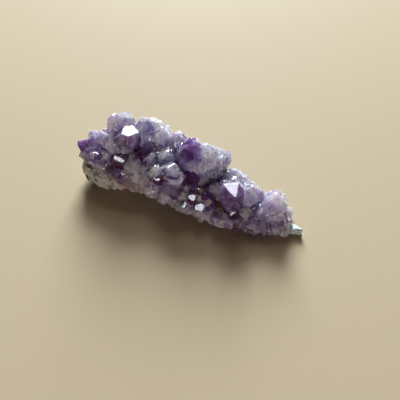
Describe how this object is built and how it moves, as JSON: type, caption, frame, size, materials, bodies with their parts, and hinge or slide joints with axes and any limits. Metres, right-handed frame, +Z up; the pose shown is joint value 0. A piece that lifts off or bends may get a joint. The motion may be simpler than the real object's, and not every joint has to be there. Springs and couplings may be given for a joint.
{
  "type": "amethyst cluster",
  "caption": "Wedge-shaped cluster of intergrown purple quartz crystals on a strip of grey-brown host rock, tapering to a thin glassy tip.",
  "frame": {"origin": "middle of the bounding box in plan, on the flat underside that the rock rests on", "axes": "+X from the thick end to the thin tip, +Z up through the crystals, -Y towards the side where the crystals spread lowest"},
  "size_m": [0.1015, 0.0324, 0.0292],
  "materials": {
    "rock": "rough grey-green and brown host rock, dry and unpolished",
    "amethyst": "clear to milky purple quartz with glossy crystal faces"
  },
  "bodies": {
    "root": {"rock_rind": "rock", "amethyst_crust": "amethyst"}
  },
  "joints": []
}
